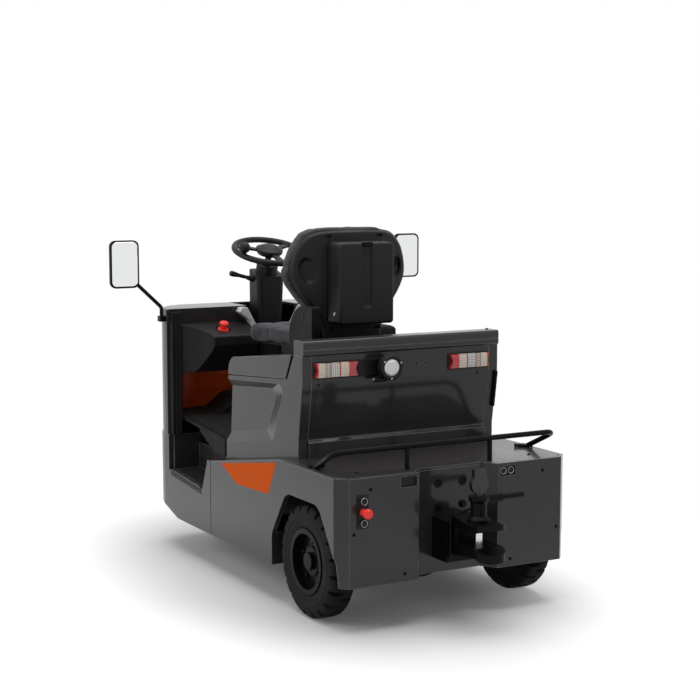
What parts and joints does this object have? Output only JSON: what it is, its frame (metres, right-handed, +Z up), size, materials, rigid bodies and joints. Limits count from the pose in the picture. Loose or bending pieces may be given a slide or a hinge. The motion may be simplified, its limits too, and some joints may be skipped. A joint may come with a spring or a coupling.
{
  "type": "airport baggage tug",
  "caption": "Electric tow tractor with open side entry, seat on a hinged battery hood, steered front wheel, rear deck with handrail and a pin coupling for baggage carts.",
  "frame": {"origin": "on the floor, below the middle of the whole length, on the centre plane", "axes": "+X forward, +Y to the driver's left, +Z up"},
  "size_m": [2.008, 1.516, 1.4209],
  "materials": {
    "grey_paint": "glossy dark grey paint",
    "orange_paint": "glossy orange paint",
    "black_paint": "satin black paint",
    "cast_parts": "painted casting",
    "battery_case": "steel tank",
    "pin_steel": "turned steel",
    "black_plastic": "grained moulding",
    "red_plastic": "glossy red",
    "pale_plastic": "pale grey moulding",
    "tail_lens": "clear red lens",
    "head_lens": "clear lens",
    "floor_rubber": "ribbed mat",
    "seat_fabric": "woven dark grey cloth",
    "tyre_rubber": "solid rubber"
  },
  "bodies": {
    "chassis": {"left_side_panel": "grey_paint", "right_side_panel": "grey_paint", "left_rear_cover": "grey_paint", "right_rear_cover": "grey_paint", "rear_deck": "grey_paint", "left_battery_cover": "grey_paint", "right_battery_cover": "grey_paint", "rear_upright": "grey_paint", "seat_box_front": "grey_paint", "left_step": "grey_paint", "right_step": "grey_paint", "front_bumper": "grey_paint", "front_cowl": "grey_paint", "footwell_wall": "orange_paint", "chassis_frame": "black_paint", "coupling_plate": "black_paint", "left_post": "black_paint", "right_post": "black_paint", "handrail": "black_paint", "hitch_head": "black_paint", "pedals": "black_paint", "rear_axle": "cast_parts", "battery": "battery_case", "left_dash_pod": "black_plastic", "right_dash_pod": "black_plastic", "steering_column": "black_plastic", "left_mirror": "black_plastic", "right_mirror": "black_plastic", "rear_switch_plate": "black_plastic", "work_lamp": "black_plastic", "emergency_stop": "red_plastic", "rear_stop_button": "red_plastic", "left_column_fin": "pale_plastic", "right_column_fin": "pale_plastic", "left_tail_lamp": "tail_lens", "right_tail_lamp": "tail_lens", "left_headlamp": "head_lens", "right_headlamp": "head_lens", "floor_plate": "floor_rubber"},
    "hood": {"hood_shell": "grey_paint", "seat_base": "black_plastic", "seat_cushion": "seat_fabric", "seat_back_pad": "seat_fabric", "seat_back_shell": "black_plastic", "document_box": "black_plastic"},
    "rear_left_wheel": {"rear_left_rim": "black_paint", "rear_left_tyre": "tyre_rubber"},
    "rear_right_wheel": {"rear_right_rim": "black_paint", "rear_right_tyre": "tyre_rubber"},
    "front_fork": {"front_fork": "black_paint"},
    "front_wheel": {"front_rim": "black_paint", "front_tyre": "tyre_rubber"},
    "steering_wheel": {"steering_wheel": "black_plastic"},
    "hitch_pin": {"hitch_pin": "pin_steel"}
  },
  "joints": [
    {"name": "rear_left_spin", "type": "hinge", "parent": "chassis", "child": "rear_left_wheel", "pos_m": [-0.468, 0, 0.212], "axis": [0, 1, 0], "continuous": true},
    {"name": "rear_right_spin", "type": "hinge", "parent": "chassis", "child": "rear_right_wheel", "pos_m": [-0.468, 0, 0.212], "axis": [0, 1, 0], "continuous": true},
    {"name": "fork_steer", "type": "hinge", "parent": "chassis", "child": "front_fork", "pos_m": [0.714, 0, 0.212], "axis": [0, 0, 1], "range_deg": [-75, 75]},
    {"name": "front_spin", "type": "hinge", "parent": "front_fork", "child": "front_wheel", "pos_m": [0.714, 0, 0.212], "axis": [0, 1, 0], "continuous": true},
    {"name": "steering_wheel_turn", "type": "hinge", "parent": "chassis", "child": "steering_wheel", "pos_m": [0.806, 0, 1.28], "axis": [-0.2924, 0, 0.9563], "range_deg": [-610, 610]},
    {"name": "hood_open", "type": "hinge", "parent": "chassis", "child": "hood", "pos_m": [-0.268, 0, 0.962], "axis": [0, -1, 0], "range_deg": [0, 60]},
    {"name": "hitch_pin_lift", "type": "slide", "parent": "chassis", "child": "hitch_pin", "axis": [0, 0, 1], "range_m": [0, 0.11]}
  ],
  "couplings": [
    {"joint": "steering_wheel_turn", "follows": "fork_steer", "ratio": 8}
  ]
}
